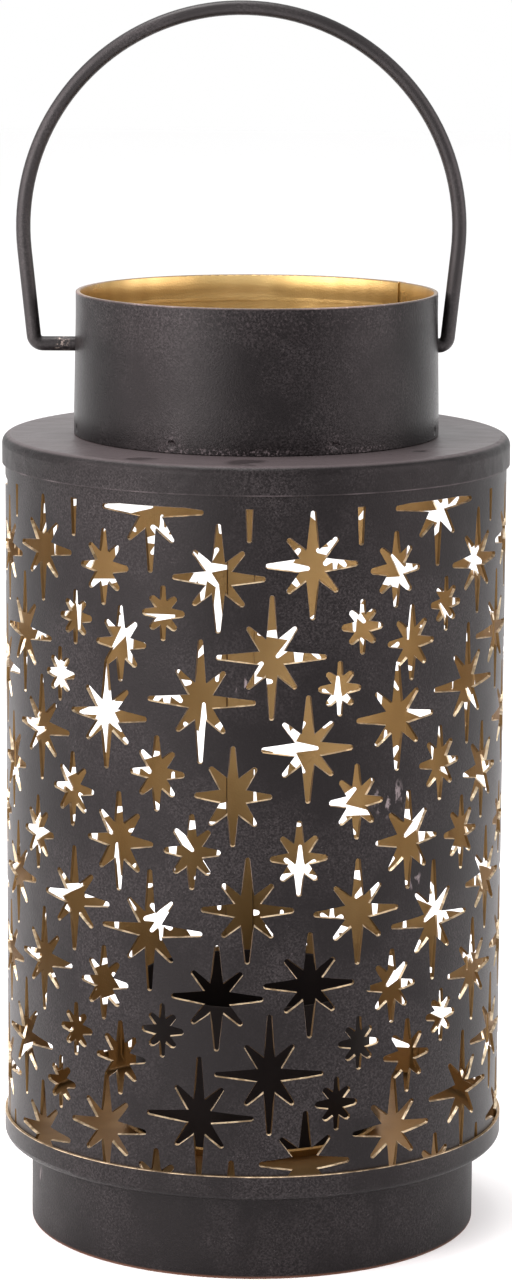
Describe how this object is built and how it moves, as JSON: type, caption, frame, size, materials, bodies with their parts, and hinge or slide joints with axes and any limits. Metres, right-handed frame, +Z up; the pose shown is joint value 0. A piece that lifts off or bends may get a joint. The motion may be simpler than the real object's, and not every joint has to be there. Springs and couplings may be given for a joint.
{
  "type": "candle lantern",
  "caption": "Round punched tin candle lantern: star-pierced drum on a footed tray, open collar neck, candle cup inside and a swinging wire bail.",
  "frame": {"origin": "on the table at the lantern's centre line, under the foot", "axes": "+Z up, the front faces -Y, the bail's pivot line runs along X"},
  "size_m": [0.162, 0.162, 0.3942],
  "materials": {
    "tin_black": "satin charcoal black outside, gold lacquer inside",
    "wire_black": "satin black, rubbed at the pivots",
    "cup_black": "dull black",
    "rivet_steel": "plain steel"
  },
  "bodies": {
    "body": {"star_sheet": "tin_black", "base_tray": "tin_black", "foot_ring": "tin_black", "shoulder_cap": "tin_black", "neck_collar": "tin_black", "drip_dish": "tin_black", "candle_cup": "cup_black", "cup_rivet": "rivet_steel"},
    "bail": {"bail_handle": "wire_black"}
  },
  "joints": [
    {"name": "bail_swing", "type": "hinge", "parent": "body", "child": "bail", "pos_m": [0, 0, 0.2859], "axis": [1, 0, 0], "range_deg": [-114, 114]}
  ]
}
